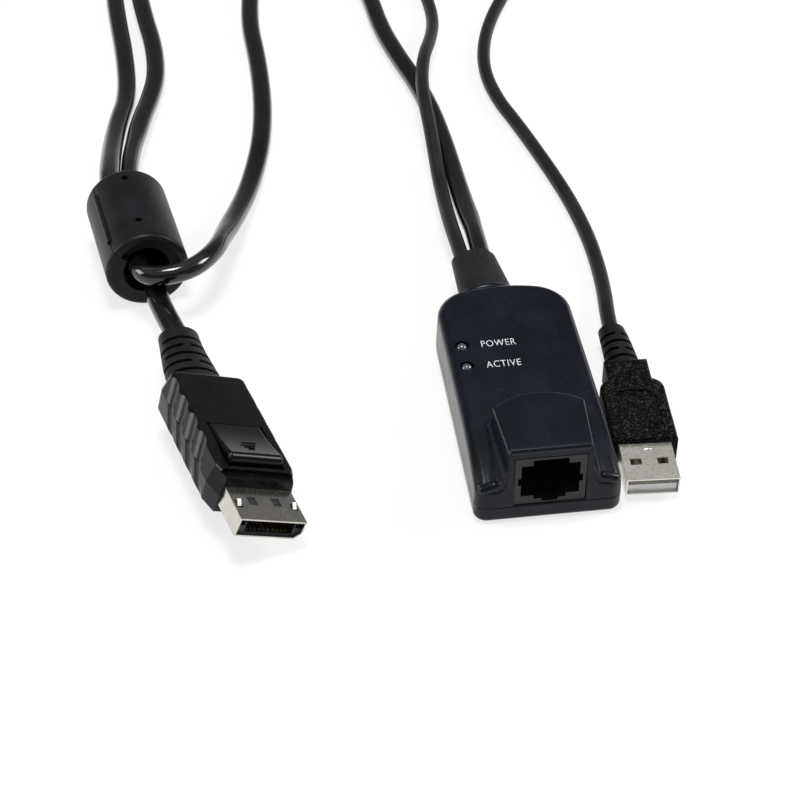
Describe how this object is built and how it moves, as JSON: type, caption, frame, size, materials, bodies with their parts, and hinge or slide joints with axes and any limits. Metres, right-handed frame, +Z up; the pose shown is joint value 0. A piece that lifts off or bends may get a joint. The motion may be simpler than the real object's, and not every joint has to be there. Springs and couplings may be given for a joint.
{
  "type": "server console adapter",
  "caption": "Flat console adapter with a network jack under a raised hood, two status lamps, and two short cords with a ferrite clamp, a latching video plug and a data plug.",
  "frame": {"origin": "middle of the case and its gland at table height, the cords left out", "axes": "+Z up; the network jack opens towards -Y; the cords leave towards +Y"},
  "size_m": [0.14, 0.3044, 0.021],
  "materials": {
    "case_plastic": "satin",
    "gland_rubber": "matte",
    "jack_plastic": "satin",
    "contact_gold": "polished",
    "lamp_clear": "gloss",
    "board": "satin",
    "chip_black": "matte",
    "screw_steel": "satin",
    "clamp_plastic": "satin",
    "core_ceramic": "matte",
    "video_plug_plastic": "satin",
    "data_plug_vinyl": "matte",
    "shell_steel": "satin",
    "insulator_black": "satin",
    "tongue_white": "satin",
    "video_jacket": "satin",
    "data_jacket": "matte",
    "spacer_nylon": "satin"
  },
  "bodies": {
    "adapter": {"top_cover": "case_plastic", "bottom_cover": "case_plastic", "circuit_board": "board", "main_chip": "chip_black", "video_chip": "chip_black", "cord_header": "tongue_white", "case_screws": "screw_steel", "network_jack": "jack_plastic", "jack_contacts": "contact_gold", "active_led": "lamp_clear", "power_led": "lamp_clear", "led_spacers": "spacer_nylon", "cable_gland": "gland_rubber", "ferrite_case_lower": "clamp_plastic", "ferrite_core_lower": "core_ceramic", "video_plug_upper_cover": "video_plug_plastic", "video_plug_lower_cover": "video_plug_plastic", "video_plug_shell": "shell_steel", "video_plug_insulator": "insulator_black", "video_plug_contacts": "contact_gold", "video_plug_board": "board", "video_plug_relief": "gland_rubber", "data_plug_body": "data_plug_vinyl", "data_plug_shell": "shell_steel", "data_plug_tongue": "tongue_white", "data_plug_contacts": "contact_gold", "data_plug_relief": "data_plug_vinyl", "video_cable": "video_jacket", "data_cable": "data_jacket"},
    "clamp_lid": {"ferrite_case_upper": "clamp_plastic", "ferrite_core_upper": "core_ceramic"},
    "latch": {"latch_button": "video_plug_plastic", "latch_spring": "screw_steel"}
  },
  "joints": [
    {"name": "clamp_hinge", "type": "hinge", "parent": "adapter", "child": "clamp_lid", "pos_m": [-0.09591, 0.06012, 0.01725], "axis": [0.1633, -0.9866, 0], "range_deg": [0, 110]},
    {"name": "latch_press", "type": "hinge", "parent": "adapter", "child": "latch", "pos_m": [-0.06811, -0.0193, 0.01141], "axis": [0.8752, 0.2411, -0.4195], "range_deg": [0, 2.2], "stiffness_Nm_per_rad": 0.05}
  ]
}
